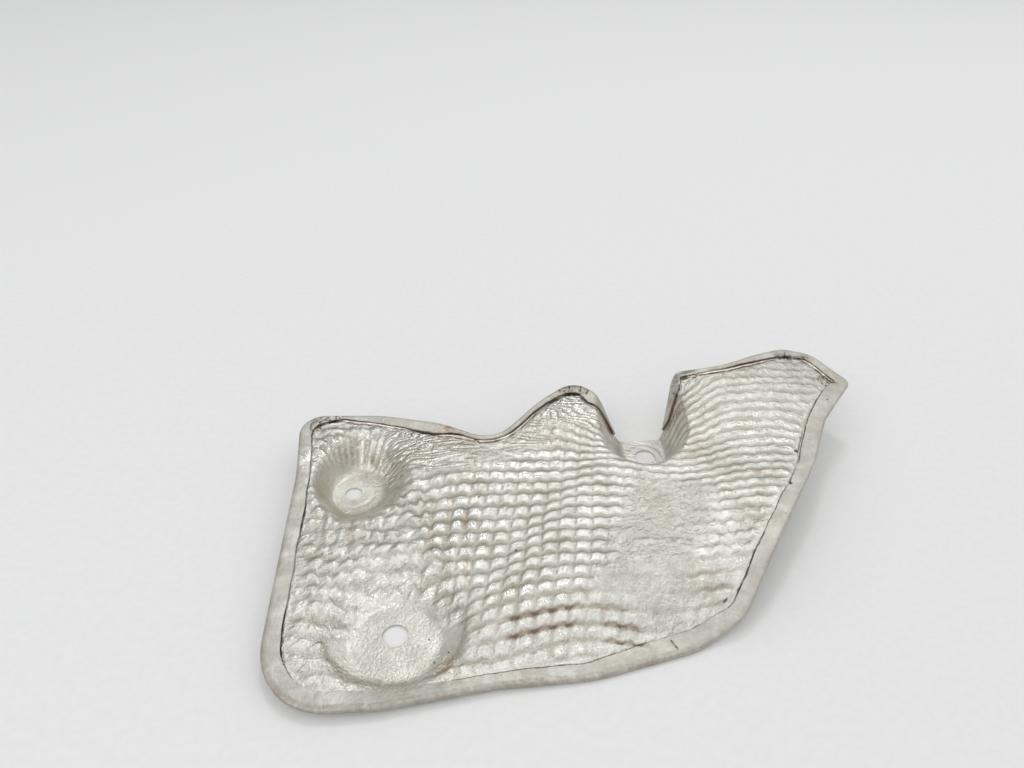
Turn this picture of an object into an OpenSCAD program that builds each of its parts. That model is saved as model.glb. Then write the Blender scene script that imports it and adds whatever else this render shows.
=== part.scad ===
// Stamped exhaust heat shield: one embossed aluminium sheet, its edge hemmed over all round
// except on the far tab, with two dished fixing points and one fixing point on the tab.
// Millimetres. X along the rows of bumps, Y away from the near edge, Z up from the table.

/* [Overall] */
// Length of the shield along X
shield_length = 240; // [225:1:255]
// Width of the shield along Y
shield_width = 155; // [146:1:165]
// Thickness of the sheet
sheet_thickness = 0.8; // [0.6:0.05:1]

/* [Hem] */
// Width of the folded edge, seen from above
hem_width = 7; // [6:0.25:8]
// Air gap between the sheet and the folded edge
hem_gap = 0.6; // [0.3:0.05:0.8]

/* [Pressed form] */
// Height of the sheet's upper side in the flat field at the left
field_height = 10.5; // [9:0.25:12]
// How much higher the field is at its right end
right_rise = 10.5; // [9:0.25:12]
// Fall of the field from the far edge to the near edge
far_near_fall = 10; // [8:0.25:12]
// Extra height of the two lobes beside the tab
lobe_rise = 6.5; // [5:0.25:8]
// How much the near edge climbs off the table towards the left
near_left_climb = 2.5; // [1.5:0.25:3.5]
// How far in from the near edge the sheet bends down
near_edge_reach = 36; // [30:0.5:40]

/* [Embossing] */
// Distance from one bump to the next
bump_pitch = 6.3; // [6:0.05:6.8]
// Height of a bump above the grooves around it
bump_height = 1; // [0.4:0.05:1.3]
// Sideways lean of the bump columns in the main field, in degrees
column_lean = 9; // [6:0.5:10]

/* [Fixing points] */
// Radius of the hole in the near dish
near_hole_radius = 4.5; // [3.5:0.05:5]
// Radius of the hole in the far dish
far_hole_radius = 3.5; // [2.75:0.05:4.5]
// Radius of the hole in the tab
tab_hole_radius = 4.5; // [3.5:0.05:5]
// Radius of the coined ring round the near hole
near_ring_radius = 8.6; // [7:0.1:10]
// Radius of the coined ring round the far hole
far_ring_radius = 8; // [6.5:0.1:9.5]
// Radius of the coined ring round the tab hole
tab_ring_radius = 7.4; // [6.5:0.1:7.8]
// Thickness of the coined rings
ring_thickness = 1; // [0.9:0.05:1.2]
// Radius of the flat floor of the near dish
near_floor_radius = 12; // [11:0.25:14]
// Radius of the flat floor of the far dish
far_floor_radius = 11.5; // [10.5:0.25:13]
// Width of the wall round the near dish
near_wall_width = 19; // [16:0.5:22]
// Width of the wall round the far dish
far_wall_width = 15; // [12:0.5:18]
// Half width of the flat floor of the tab
tab_floor_radius = 8.5; // [8:0.25:9.5]
// Width of the wall at the left of the tab; the right wall is steeper
tab_wall_width = 14; // [12:0.25:16]

/* [Hidden] */

// Centres of the three holes, as shares of the length and the width
near_hole_share = [0.205, 0.196];
far_hole_share = [0.108, 0.645];
tab_hole_share = [0.627, 0.763];
near_hole = place(near_hole_share);
far_hole = place(far_hole_share);
tab_hole = place(tab_hole_share);

// Corners of the outline, clockwise from the far left one, as shares of the length and the
// width; the third value is the share of the length that rounds the corner
corner_shares = [
    [0.000, 0.869, 0.042],
    [0.150, 0.862, 0.25],
    [0.256, 0.826, 0.15],
    [0.349, 0.755, 0.060],
    [0.430, 0.868, 0.20],
    [0.502, 0.930, 0.045],
    [0.585, 0.828, 0.014],
    [0.663, 0.835, 0.014],
    [0.690, 0.950, 0.022],
    [0.779, 0.936, 0.165],
    [0.905, 1.012, 0.055],
    [0.960, 0.998, 0.045],
    [1.010, 0.880, 0.018],
    [0.930, 0.730, 0.090],
    [0.880, 0.580, 0.25],
    [0.706, 0.190, 0.060],
    [0.630, 0.130, 0.15],
    [0.483, 0.070, 0.30],
    [0.346, 0.053, 0.25],
    [0.192, 0.010, 0.25],
    [0.028, -0.001, 0.100],
    [0.0175, 0.640, 0.20]
];
corner_total = len(corner_shares);
// The hem is left out from this corner to the next one, along the tab
plain_corner = 6;

// Spacing of the points along the outline
edge_step = shield_length / 42;
// Rounding that is left at the inner end of the hem where the outer corner is sharper than the hem
least_round = hem_width / 16;
// Band between the hem's inner end and the first point of the body
hem_margin = hem_width / 8;
body_inset = hem_width + hem_margin;
// Band between the first point of the body and the bumps
bump_inset = body_inset + bump_pitch / 2;
fold_radius = (2 * sheet_thickness + hem_gap) / 2;
fold_slant = fold_radius * (1 - cos(45));
fold_middle = hem_gap / 2;
fold_shoulder = fold_radius * sin(45);

// Upper side of the sheet on the floors of the dishes and the tab
floor_height = (ring_thickness + sheet_thickness) / 2;
left_lean_share = -0.03;
lean_share = tan(column_lean);
row_total = floor(shield_width / bump_pitch) + 1;
column_total = floor(shield_length / bump_pitch) - 3;
column_start = -column_total * bump_pitch / 2 - bump_pitch / 4;
bore_margin = ring_thickness;

// Where the field starts and stops rising to the right, as shares of the length
rise_start_share = 0.33;
rise_stop_share = 0.98;
// Peaks of the lobes left and right of the tab
left_lobe_share = [0.500, 0.96];
left_lobe_reach = shield_width * 0.30;
right_lobe_share = [0.800, 1.00];
right_lobe_reach = shield_width * 0.36;
// Near edge line: its distance at the left end, and its slope
near_line_share = 0.083;
// Where the near edge touches the table, and where its climb to the left ends
touch_share = 0.54;
climb_end_share = 0.09;
// Where the bend along the near edge fades out to the right, as shares of the length
hold_start_share = 0.63;
hold_stop_share = 0.84;
// How much steeper the wall of the far dish is at its left, and that of the tab at its right
far_left_steepness = 0.3;
// How much nearer to its hole the far dish ends at its left
far_left_squeeze = 0.45;
tab_right_steepness = 0.7;
near_slope_share = 0.16;
// Plain field without bumps, to the right of the middle
plain_field_share = [0.604, 0.384];
plain_field_half = [shield_length * 0.055, shield_width * 0.165];
plain_field_turn = 65;
// Bump height that is left in the plain field
plain_field_left = 0.15;

function place(share) = [
    shield_length * (share[0] - 0.5),
    shield_width * (share[1] - 0.5)
];
function clamp01(v) = max(0, min(1, v));
function ease(a, b, v) = let(q = clamp01((v - a) / (b - a))) q * q * (3 - 2 * q);
function blend(a, b, share) = a + (b - a) * share;
function away(p, q) = norm([p[0] - q[0], p[1] - q[1]]);

// Height of the upper side of the sheet, before the bumps
function field(p) = let(
    start = place([rise_start_share, 0])[0],
    stop = place([rise_stop_share, 0])[0],
    rise = right_rise * ease(start, stop, p[0]),
    fall = far_near_fall * p[1] / shield_width,
    left = 1 - ease(0, left_lobe_reach, away(p, place(left_lobe_share))),
    right = 1 - ease(0, right_lobe_reach, away(p, place(right_lobe_share)))
) field_height + rise + fall + lobe_rise * (left + right);

// Height of the upper side along the near edge: its hem lies on the table at one place
function near_height(x) = sheet_thickness + near_left_climb * ease(0,
    shield_length * (touch_share - climb_end_share), place([touch_share, 0])[0] - x);

function near_edge(p) = let(
    line = place([0.5, near_line_share])[1] + near_slope_share * p[0],
    hold = 1 - ease(place([hold_start_share, 0])[0], place([hold_stop_share, 0])[0], p[0]),
    drop = hold * (1 - ease(0, near_edge_reach, p[1] - line))
) blend(field(p), near_height(p[0]), drop);

// Share of the way down into a dish: 1 on its floor, 0 outside its wall; the wall is steeper
// on the side of the hole that side points to
function sunk(offset, floor_radius, wall_width, side, squeeze, steepness) = let(
    d = norm(offset),
    lean = d > 0 ? clamp01(side * offset[0] / d) : 0,
    out = max(0, d * (1 + squeeze * lean) - floor_radius)
) 1 - ease(0, wall_width, out * (1 + steepness * lean));

function dished(p) = let(
    near_in = sunk([p[0] - near_hole[0], p[1] - near_hole[1]],
        near_floor_radius, near_wall_width, 1, 0, 0),
    far_in = sunk([p[0] - far_hole[0], p[1] - far_hole[1]],
        far_floor_radius, far_wall_width, -1, far_left_squeeze, far_left_steepness),
    tab_in = sunk([p[0] - tab_hole[0], min(0, p[1] - tab_hole[1])],
        tab_floor_radius, tab_wall_width, 1, 0, tab_right_steepness)
) blend(near_edge(p), floor_height, 1 - (1 - near_in) * (1 - far_in) * (1 - tab_in));

// Share of the full bump height at a place: none on the floors and in the plain field
function bump_share(p) = let(
    c = place(plain_field_share),
    d = [p[0] - c[0], p[1] - c[1]],
    u = d[0] * cos(plain_field_turn) + d[1] * sin(plain_field_turn),
    v = d[1] * cos(plain_field_turn) - d[0] * sin(plain_field_turn),
    out = max(abs(u) - plain_field_half[1], abs(v) - plain_field_half[0]),
    field_out = blend(plain_field_left, 1, ease(0, bump_pitch, out)),
    near_out = ease(near_floor_radius, near_floor_radius + bump_pitch, away(p, near_hole)),
    far_out = ease(far_floor_radius, far_floor_radius + bump_pitch, away(p, far_hole)),
    tab_out = ease(tab_floor_radius, tab_floor_radius + bump_pitch, away(p, tab_hole))
) field_out * near_out * far_out * tab_out;

// Rounded outline, moved in by an inset; every inset gives the same number of points
corners = [for (s = corner_shares) place(s)];
function corner(i) = corners[(i + corner_total) % corner_total];
function along(i) = let(d = corner(i + 1) - corner(i)) d / norm(d);
function inward(i) = let(d = along(i)) [d[1], -d[0]];
function turn(i) = let(a = along(i - 1), b = along(i))
    atan2(a[0] * b[1] - a[1] * b[0], a * b);
function corner_radius(i) = corner_shares[i % corner_total][2] * shield_length;
function inset_corner(i, d) = let(a = inward(i - 1), b = inward(i))
    corner(i) + d * (a + b) / (1 + a * b);
function inset_radius(i, d) = turn(i) < 0
    ? max(corner_radius(i) - d, min(least_round, corner_radius(i)))
    : corner_radius(i) + d;
function arc_steps(i) = max(2, ceil(abs(turn(i)) / 24),
    round(corner_radius(i) * abs(turn(i)) * PI / 180 / edge_step));
function arc_point(i, d, k) = let(
    s = turn(i) < 0 ? 1 : -1,
    a = inward(i - 1),
    b = inward(i),
    r = inset_radius(i, d),
    c = inset_corner(i, d) + s * r * (a + b) / (1 + a * b),
    g = atan2(a[1], a[0]) + turn(i) * k / arc_steps(i)
) c - s * r * [cos(g), sin(g)];
function straight_steps(i) = max(1, round(norm(
    arc_point(i + 1, 0, 0) - arc_point(i, 0, arc_steps(i))) / edge_step));
function ring(d) = [for (i = [0 : corner_total - 1]) let(
    n = arc_steps(i),
    m = straight_steps(i),
    e = arc_point(i, d, n),
    f = arc_point((i + 1) % corner_total, d, 0)
) each concat(
    [for (k = [0 : n]) arc_point(i, d, k)],
    [for (k = [1 : 1 : m - 1]) blend(e, f, k / m)]
)];
// True at the ring points that lie on the tab, where there is no hem
plain_ring = [for (i = [0 : corner_total - 1]) let(
    n = arc_steps(i),
    m = straight_steps(i)
) each [for (k = [0 : n + m - 1])
    i == plain_corner || (i == plain_corner + 1 && k <= n)]];

// Middle of the rounded outline, which is moved to the origin
outline = ring(0);
outline_middle = [
    (min([for (p = outline) p[0]]) + max([for (p = outline) p[0]])) / 2,
    (min([for (p = outline) p[1]]) + max([for (p = outline) p[1]])) / 2
];

// Section of the edge, from the body's upper side round the fold to its lower side, each
// point as an inset from the outline and a height above the upper side
hem_section = [
    [body_inset, 0],
    [fold_radius, 0],
    [sheet_thickness, fold_middle],
    [fold_radius, hem_gap],
    [hem_width, hem_gap],
    [hem_width, hem_gap + sheet_thickness],
    [fold_radius, hem_gap + sheet_thickness],
    [fold_slant, fold_middle + fold_shoulder],
    [0, fold_middle],
    [fold_slant, fold_middle - fold_shoulder],
    [fold_radius, -sheet_thickness],
    [body_inset, -sheet_thickness]
];
plain_section = [
    [body_inset, 0],
    [body_inset * 0.4, 0],
    [body_inset * 0.3, 0],
    [body_inset * 0.2, 0],
    [body_inset * 0.1, 0],
    [0, 0],
    [0, -sheet_thickness * 0.2],
    [0, -sheet_thickness * 0.4],
    [0, -sheet_thickness * 0.6],
    [0, -sheet_thickness * 0.8],
    [0, -sheet_thickness],
    [body_inset, -sheet_thickness]
];
section_total = len(hem_section);

// Bumps on a grid of columns, each column cut off where it meets the inner edge of the band
bump_edge = ring(bump_inset);
function column_share(i) = blend(left_lean_share, lean_share,
    ease(-column_total / 2, 0, i - column_total / 2));
function column_x(i, y) = column_start + i * bump_pitch + column_share(i) * y;
function column_span(i) = let(
    n = len(bump_edge),
    hits = [for (k = [0 : n - 1]) let(
        a = bump_edge[k],
        b = bump_edge[(k + 1) % n],
        fa = a[0] - column_x(i, a[1]),
        fb = b[0] - column_x(i, b[1])
    ) if (fa * fb < 0) a[1] + (b[1] - a[1]) * fa / (fa - fb)]
) len(hits) < 2 ? [0, 0] : [min(hits), max(hits)];
row_start = -row_total * bump_pitch / 2;
function row_y(j) = row_start + j * bump_pitch;
all_spans = [for (i = [0 : column_total]) column_span(i)];
kept_columns = [for (i = [0 : column_total])
    if (all_spans[i][1] - all_spans[i][0] > bump_pitch * 1.5) i];
first_column = min(kept_columns);
columns = max(kept_columns) - first_column + 1;
spans = [for (i = [0 : columns - 1]) all_spans[first_column + i]];
lows = [for (s = spans) ceil((s[0] - row_start) / bump_pitch + 0.3) - 1];
highs = [for (s = spans) floor((s[1] - row_start) / bump_pitch - 0.3) + 1];
starts = [for (i = 0, t = 0; i <= columns; t = t + (i < columns ? highs[i] - lows[i] + 1 : 0),
    i = i + 1) t];
corner_points = [for (i = [0 : columns - 1]) each [for (j = [lows[i] : highs[i]]) let(
    y = j == lows[i] ? spans[i][0] : j == highs[i] ? spans[i][1] : row_y(j)
) [column_x(first_column + i, y), y, j == lows[i] || j == highs[i] ? 0 : -1]]];
function grid_id(i, j) = starts[i] + max(lows[i], min(highs[i], j)) - lows[i];
function whole(i, j) = j > lows[i] && j + 1 < highs[i] && j > lows[i + 1] && j + 1 < highs[i + 1];
bump_cells = [for (i = [0 : columns - 2]) each [for (j = [min(lows) : max(highs) - 1])
    if (whole(i, j)) [i, j]]];
bump_points = [for (c = bump_cells) let(
    p = corner_points[grid_id(c[0], c[1])],
    q = corner_points[grid_id(c[0] + 1, c[1] + 1)],
    r = corner_points[grid_id(c[0] + 1, c[1])],
    s = corner_points[grid_id(c[0], c[1] + 1)]
) [(p[0] + q[0] + r[0] + s[0]) / 4, (p[1] + q[1]) / 2, 1]];
grid_points = concat(corner_points, bump_points);
grid_total = len(grid_points);
corner_point_total = len(corner_points);

function lifted(p) = dished(p) + p[2] * bump_share(p) * bump_height / 2;
top_points = [for (p = grid_points) [p[0], p[1], lifted(p)]];
low_points = [for (p = top_points) [p[0], p[1], p[2] - sheet_thickness]];

// Faces of the body's upper side, anticlockwise from above
body_faces = concat(
    [for (k = [0 : len(bump_cells) - 1]) let(
        i = bump_cells[k][0],
        j = bump_cells[k][1],
        m = corner_point_total + k,
        a = grid_id(i, j),
        b = grid_id(i + 1, j),
        c = grid_id(i + 1, j + 1),
        d = grid_id(i, j + 1)
    ) each [[a, b, m], [b, c, m], [c, d, m], [d, a, m]]],
    [for (i = [0 : columns - 2]) each [for (j = [min(lows) : max(highs) - 1]) let(
        a = grid_id(i, j),
        b = grid_id(i + 1, j),
        c = grid_id(i + 1, j + 1),
        d = grid_id(i, j + 1)
    ) if (!whole(i, j)) each concat(
        b != c ? [[a, b, c]] : [],
        a != d ? [[a, c, d]] : []
    )]]
);

// Edge of the grid, clockwise from above, starting at the far end of the first column
grid_edge = concat(
    [for (i = [0 : columns - 1]) grid_id(i, highs[i])],
    [for (j = [highs[columns - 1] - 1 : -1 : lows[columns - 1]]) grid_id(columns - 1, j)],
    [for (i = [columns - 2 : -1 : 0]) grid_id(i, lows[i])],
    [for (j = [lows[0] + 1 : 1 : highs[0] - 1]) grid_id(0, j)]
);
grid_edge_total = len(grid_edge);

rings = [for (m = [0 : section_total - 1]) let(
    hemmed = ring(hem_section[m][0]),
    plain = ring(plain_section[m][0])
) [for (k = [0 : len(hemmed) - 1]) let(
    p = plain_ring[k] ? plain[k] : hemmed[k],
    h = plain_ring[k] ? plain_section[m][1] : hem_section[m][1]
) [p[0], p[1], dished(p) + h]]];
ring_total = len(rings[0]);
ring_points = [for (r = rings) each r];
function ring_id(m, k) = 2 * grid_total + m * ring_total + k % ring_total;

// Band of triangles between the edge of the grid and the first ring
inner_ring = rings[0];
gaps = [for (p = inner_ring) away(p, top_points[grid_edge[0]])];
ring_first = [for (k = [0 : ring_total - 1]) if (gaps[k] == min(gaps)) k][0];
function edge_point(b) = top_points[grid_edge[b % grid_edge_total]];
function ring_point(a) = inner_ring[(a + ring_first) % ring_total];
function ring_next(a, b) = b >= grid_edge_total || (a < ring_total
    && away(ring_point(a + 1), edge_point(b)) < away(ring_point(a), edge_point(b + 1)));
band = [for (a = 0, b = 0, s = ring_next(0, 0); a + b < ring_total + grid_edge_total;
    a = a + (s ? 1 : 0), b = b + (s ? 0 : 1), s = ring_next(a, b)) [a, b, s]];

function band_faces(side, m) = [for (w = band) let(
    a = ring_id(m, w[0] + ring_first),
    b = side * grid_total + grid_edge[w[1] % grid_edge_total],
    c = w[2] ? ring_id(m, w[0] + 1 + ring_first)
        : side * grid_total + grid_edge[(w[1] + 1) % grid_edge_total]
) [a, b, c]];

strip_faces = [for (m = [0 : section_total - 2]) each [for (k = [0 : ring_total - 1]) each [
    [ring_id(m + 1, k), ring_id(m + 1, k + 1), ring_id(m, k)],
    [ring_id(m + 1, k + 1), ring_id(m, k + 1), ring_id(m, k)]
]]];
function flipped(f) = [f[2], f[1], f[0]];

module formed_sheet() {
    polyhedron(
        points = concat(top_points, low_points, ring_points),
        faces = concat(
            [for (f = body_faces) flipped(f)],
            [for (f = body_faces) [f[0] + grid_total, f[1] + grid_total, f[2] + grid_total]],
            [for (f = band_faces(0, 0)) flipped(f)],
            band_faces(1, section_total - 1),
            strip_faces
        ),
        convexity = 12
    );
}

module coined_ring(centre, radius) {
    translate([centre[0], centre[1], 0])
        cylinder(h = ring_thickness, r = radius, $fn = 64);
}

module bore(centre, radius) {
    translate([centre[0], centre[1], -bore_margin])
        cylinder(h = ring_thickness + 2 * bore_margin, r = radius, $fn = 64);
}

module heat_shield() {
    color([0.80, 0.79, 0.76])
        translate([-outline_middle[0], -outline_middle[1], 0])
            difference() {
                union() {
                    formed_sheet();
                    coined_ring(near_hole, near_ring_radius);
                    coined_ring(far_hole, far_ring_radius);
                    coined_ring(tab_hole, tab_ring_radius);
                }
                bore(near_hole, near_hole_radius);
                bore(far_hole, far_hole_radius);
                bore(tab_hole, tab_hole_radius);
            }
}

heat_shield();
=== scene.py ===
"""Embossed aluminium exhaust heat shield with a hemmed edge, lying on a plain floor.

Run as a script by Blender 4.5. Metres in the scene; the shield's own sizes are in
millimetres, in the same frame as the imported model: X along the rows of bumps, Y away
from the near edge, Z up.
"""
import math
from functools import partial
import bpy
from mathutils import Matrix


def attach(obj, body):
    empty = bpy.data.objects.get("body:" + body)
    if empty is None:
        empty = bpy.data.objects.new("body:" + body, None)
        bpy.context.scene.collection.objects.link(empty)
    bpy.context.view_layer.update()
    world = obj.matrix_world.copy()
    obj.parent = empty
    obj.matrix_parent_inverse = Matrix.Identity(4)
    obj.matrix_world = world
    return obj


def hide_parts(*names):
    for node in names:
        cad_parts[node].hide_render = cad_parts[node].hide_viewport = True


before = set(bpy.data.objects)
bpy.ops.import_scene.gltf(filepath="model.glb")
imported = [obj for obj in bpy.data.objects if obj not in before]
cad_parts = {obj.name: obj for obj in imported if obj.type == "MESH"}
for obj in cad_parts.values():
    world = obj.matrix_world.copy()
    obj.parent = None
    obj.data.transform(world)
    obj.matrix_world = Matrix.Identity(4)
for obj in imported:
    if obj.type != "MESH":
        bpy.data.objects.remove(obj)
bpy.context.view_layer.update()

from types import SimpleNamespace

import bpy
import numpy as np
from bpy.props import FloatProperty, FloatVectorProperty, PointerProperty
from mathutils import Vector
from mathutils.geometry import delaunay_2d_cdt

bl_info = {
    "name": "Exhaust heat shield",
    "version": (1, 0, 0),
    "blender": (4, 5, 0),
    "location": "View3D > Sidebar > Heat shield",
    "description": "Presses, hems and finishes an embossed exhaust heat shield",
    "category": "Add Mesh",
}

MM = 0.001
LENGTH = 240.0
WIDTH = 155.0

# The plain form in mm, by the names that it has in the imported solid's source
FIELD_HEIGHT = 10.5
RIGHT_RISE = 10.5
FAR_NEAR_FALL = 10.0
LOBE_RISE = 6.5
NEAR_EDGE_HEIGHT = 0.8
NEAR_LEFT_CLIMB = 2.5
NEAR_EDGE_REACH = 36.0
FLOOR_HEIGHT = 0.9
NEAR_FLOOR_RADIUS = 12.0
FAR_FLOOR_RADIUS = 11.5
TAB_FLOOR_RADIUS = 8.5
NEAR_WALL_WIDTH = 19.0
FAR_WALL_WIDTH = 15.0
TAB_WALL_WIDTH = 14.0
FAR_RING_RADIUS = 8.0
TAB_RING_RADIUS = 7.4

# Corners of the outline, clockwise from the far left one: shares of the length and the
# width, then the share of the length that rounds the corner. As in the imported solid.
CORNERS = (
    (0.000, 0.869, 0.042),
    (0.150, 0.862, 0.25),
    (0.256, 0.826, 0.15),
    (0.349, 0.755, 0.060),
    (0.430, 0.868, 0.20),
    (0.502, 0.930, 0.045),
    (0.585, 0.828, 0.014),
    (0.663, 0.835, 0.014),
    (0.690, 0.950, 0.022),
    (0.779, 0.936, 0.165),
    (0.905, 1.012, 0.055),
    (0.960, 0.998, 0.045),
    (1.010, 0.880, 0.018),
    (0.930, 0.730, 0.090),
    (0.880, 0.580, 0.25),
    (0.706, 0.190, 0.060),
    (0.630, 0.130, 0.15),
    (0.483, 0.070, 0.30),
    (0.346, 0.053, 0.25),
    (0.192, 0.010, 0.25),
    (0.028, -0.001, 0.100),
    (0.0175, 0.640, 0.20),
)
TAB_CORNER = 6


def srgb(text):
    """An sRGB hex colour as the linear colour that a socket takes."""
    value = text.lstrip("#")
    out = []
    for k in (0, 2, 4):
        c = int(value[k:k + 2], 16) / 255
        out.append(c / 12.92 if c <= 0.04045 else ((c + 0.055) / 1.055) ** 2.4)
    return (*out, 1.0)


def ease(a, b, v):
    q = np.clip((np.asarray(v, float) - a) / (b - a), 0, 1)
    return q * q * (3 - 2 * q)


def between(v, a, b, c, d):
    """Rises from 0 to 1 from a to b, and falls back from c to d."""
    return ease(a, b, v) * (1 - ease(c, d, v))


def bell(v, width):
    return np.exp(-(np.asarray(v, float) / width) ** 2)


def patch(x, y, cx, cy, rx, ry):
    """1 in the middle of an oval place, fading all round."""
    return bell(np.hypot((x - cx) / rx, (y - cy) / ry), 1)


def place(sx, sy):
    return np.array([LENGTH * (sx - 0.5), WIDTH * (sy - 0.5)])


def swell(x, y, size, seed):
    """Smooth irregular hills between about -1 and 1, with a typical size in mm."""
    rng = np.random.default_rng(seed)
    out = np.zeros(np.shape(x))
    for _ in range(7):
        a = rng.uniform(0, 2 * math.pi)
        k = 2 * math.pi / (size * rng.uniform(0.75, 1.6))
        out = out + np.sin(k * (x * math.cos(a) + y * math.sin(a)) + rng.uniform(0, 6.28))
    return out / 3.2


# Outline

def corner_frames():
    points = [place(c[0], c[1]) for c in CORNERS]
    n = len(points)
    along = []
    for i in range(n):
        d = points[(i + 1) % n] - points[i]
        along.append(d / np.linalg.norm(d))
    return points, along


def ring(inset, step, least=0.5):
    """The rounded outline moved in by an inset; every inset gives the same number of
    points. Returns the points and, for each, True on the tab's plain edge."""
    points, along = corner_frames()
    n = len(points)
    radii = [c[2] * LENGTH for c in CORNERS]
    inward = [np.array([d[1], -d[0]]) for d in along]
    turns = []
    for i in range(n):
        a, b = along[i - 1], along[i]
        turns.append(math.atan2(a[0] * b[1] - a[1] * b[0], float(a @ b)))

    def arc(i, d, k, steps):
        s = 1 if turns[i] < 0 else -1
        a, b = inward[i - 1], inward[i]
        r = max(radii[i] - d, min(least, radii[i])) if s > 0 else radii[i] + d
        c = points[i] + (d + s * r) * (a + b) / (1 + float(a @ b))
        g = math.atan2(a[1], a[0]) + turns[i] * k / steps
        return c - s * r * np.array([math.cos(g), math.sin(g)])

    steps = [max(2, math.ceil(abs(math.degrees(t)) / 24), round(r * abs(t) / step))
             for t, r in zip(turns, radii)]
    out, plain = [], []
    for i in range(n):
        j = (i + 1) % n
        gap = arc(j, 0, 0, steps[j]) - arc(i, 0, steps[i], steps[i])
        m = max(1, round(float(np.linalg.norm(gap)) / step))
        for k in range(steps[i] + 1):
            out.append(arc(i, inset, k, steps[i]))
            plain.append(i in (TAB_CORNER, TAB_CORNER + 1))
        e, f = out[-1], arc(j, inset, 0, steps[j])
        for k in range(1, m):
            out.append(e + (f - e) * k / m)
            plain.append(i == TAB_CORNER)
    return np.array(out), np.array(plain)


COARSE = ring(0, LENGTH / 42)[0]
MIDDLE = (COARSE.min(0) + COARSE.max(0)) / 2
NEAR_HOLE = place(0.205, 0.196) - MIDDLE
FAR_HOLE = place(0.108, 0.645) - MIDDLE
TAB_HOLE = place(0.627, 0.763) - MIDDLE

# Holes: middle, radius, and the radius up to which the points lie on circles round it
HOLES = (
    (NEAR_HOLE, 4.5, 10.4),
    (FAR_HOLE, 3.5, 9.8),
    (TAB_HOLE, 4.5, 8.6),
)


# Pressed form

def sunk(dx, dy, floor, wall, side=1, squeeze=0.0, steep=0.0):
    """1 on a dish's floor, falling to 0 up its wall. On one side, to the right for 1 and
    to the left for -1, the floor can be narrower and the wall steeper."""
    d = np.hypot(dx, dy)
    lean = np.clip(side * dx / np.maximum(d, 1e-6), 0, 1)
    out = np.maximum(0, d * (1 + squeeze * lean) - floor)
    return 1 - ease(0, wall, out * (1 + steep * lean))


def field(x, y):
    """Height of the sheet's upper side without bumps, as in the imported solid."""
    px, py = x + MIDDLE[0], y + MIDDLE[1]
    rise = RIGHT_RISE * ease(-0.17 * LENGTH, 0.48 * LENGTH, px)
    left = 1 - ease(0, 0.30 * WIDTH, np.hypot(px, py - 0.46 * WIDTH))
    right = 1 - ease(0, 0.36 * WIDTH, np.hypot(px - 0.30 * LENGTH, py - 0.50 * WIDTH))
    z = FIELD_HEIGHT + rise + FAR_NEAR_FALL * py / WIDTH + LOBE_RISE * (left + right)
    line = (0.083 - 0.5) * WIDTH + 0.16 * px
    hold = 1 - ease(0.13 * LENGTH, 0.34 * LENGTH, px)
    drop = hold * (1 - ease(0, NEAR_EDGE_REACH, py - line))
    climb = NEAR_LEFT_CLIMB * ease(0, 0.45 * LENGTH, 0.04 * LENGTH - px)
    z = z + (NEAR_EDGE_HEIGHT + climb - z) * drop
    near = sunk(x - NEAR_HOLE[0], y - NEAR_HOLE[1], NEAR_FLOOR_RADIUS, NEAR_WALL_WIDTH)
    far = sunk(x - FAR_HOLE[0], y - FAR_HOLE[1], FAR_FLOOR_RADIUS, FAR_WALL_WIDTH, -1, 0.45, 0.3)
    tab = sunk(x - TAB_HOLE[0], np.minimum(0, y - TAB_HOLE[1]),
               TAB_FLOOR_RADIUS, TAB_WALL_WIDTH, 1, 0, 0.7)
    return z + (FLOOR_HEIGHT - z) * (1 - (1 - near) * (1 - far) * (1 - tab))


def lattice(x, y, pitch):
    """Column and row numbers of the embossing at a place, as the forming drew it out of
    line: rows close up towards the right, step up along a soft bend, and fan at the tab."""
    scale = pitch / 6.3
    u = (x - (0.14 - 0.10 * ease(0, 80, x)) * y) / (0.96 * pitch)
    base = -4 * ease(-12, 32, x) - 4 * (1 - ease(-76, -50, x))
    up = y - base
    below = 6.25 - 0.75 * ease(-50, -5, x) - 0.5 * ease(0, 60, x)
    above = 6.25 - 0.6 * ease(-50, -5, x) - 1.75 * ease(0, 43, x) + 0.65 * ease(43, 65, x)
    share = ease(-15, 15, up)
    v = up / (scale * (below + (above - below) * share)) + 0.5
    v = v - 0.7 * ease(-7, 7, across_bend(x, y))
    v = v + 2.4 * ease(15, 45, y) * ease(-12, 16, x) * (1 - ease(20, 44, x))
    v = v + 0.0019 * np.maximum(0, x - 68) ** 2 * (1 - ease(28, 50, y))
    loose = 1 - ease(-72, -52, x + 3 * swell(x, y, 30, 3))
    rough = bell(y + 57, 9) * ease(-45, -25, x)
    u = u + (0.07 + 0.26 * loose + 0.12 * rough) * swell(x, y, 32 - 14 * loose, 5)
    v = v + (0.07 + 0.16 * loose + 0.12 * rough) * swell(x, y, 32 - 16 * loose, 8)
    v = v + 0.09 * ease(40, 58, x) * swell(x, y * 1.5, 15, 9)
    return u, v


def across_bend(x, y):
    """Distance to the right of the soft bend that runs up from beside the near dish."""
    return 0.814 * (x + 36) - 0.581 * (y + 31)


def far_wrinkles(x, y):
    """1 where the sheet was squeezed into long wrinkles: on the left lobe's top and
    along the far edge."""
    lobe = bell(x + 3, 24) * ease(36, 48, y + 0.15 * x)
    edge = ease(19, 27, y - 10 * ease(-48, -16, x)) * between(x, -90, -78, -22, -2)
    return np.maximum(lobe, edge)


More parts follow.
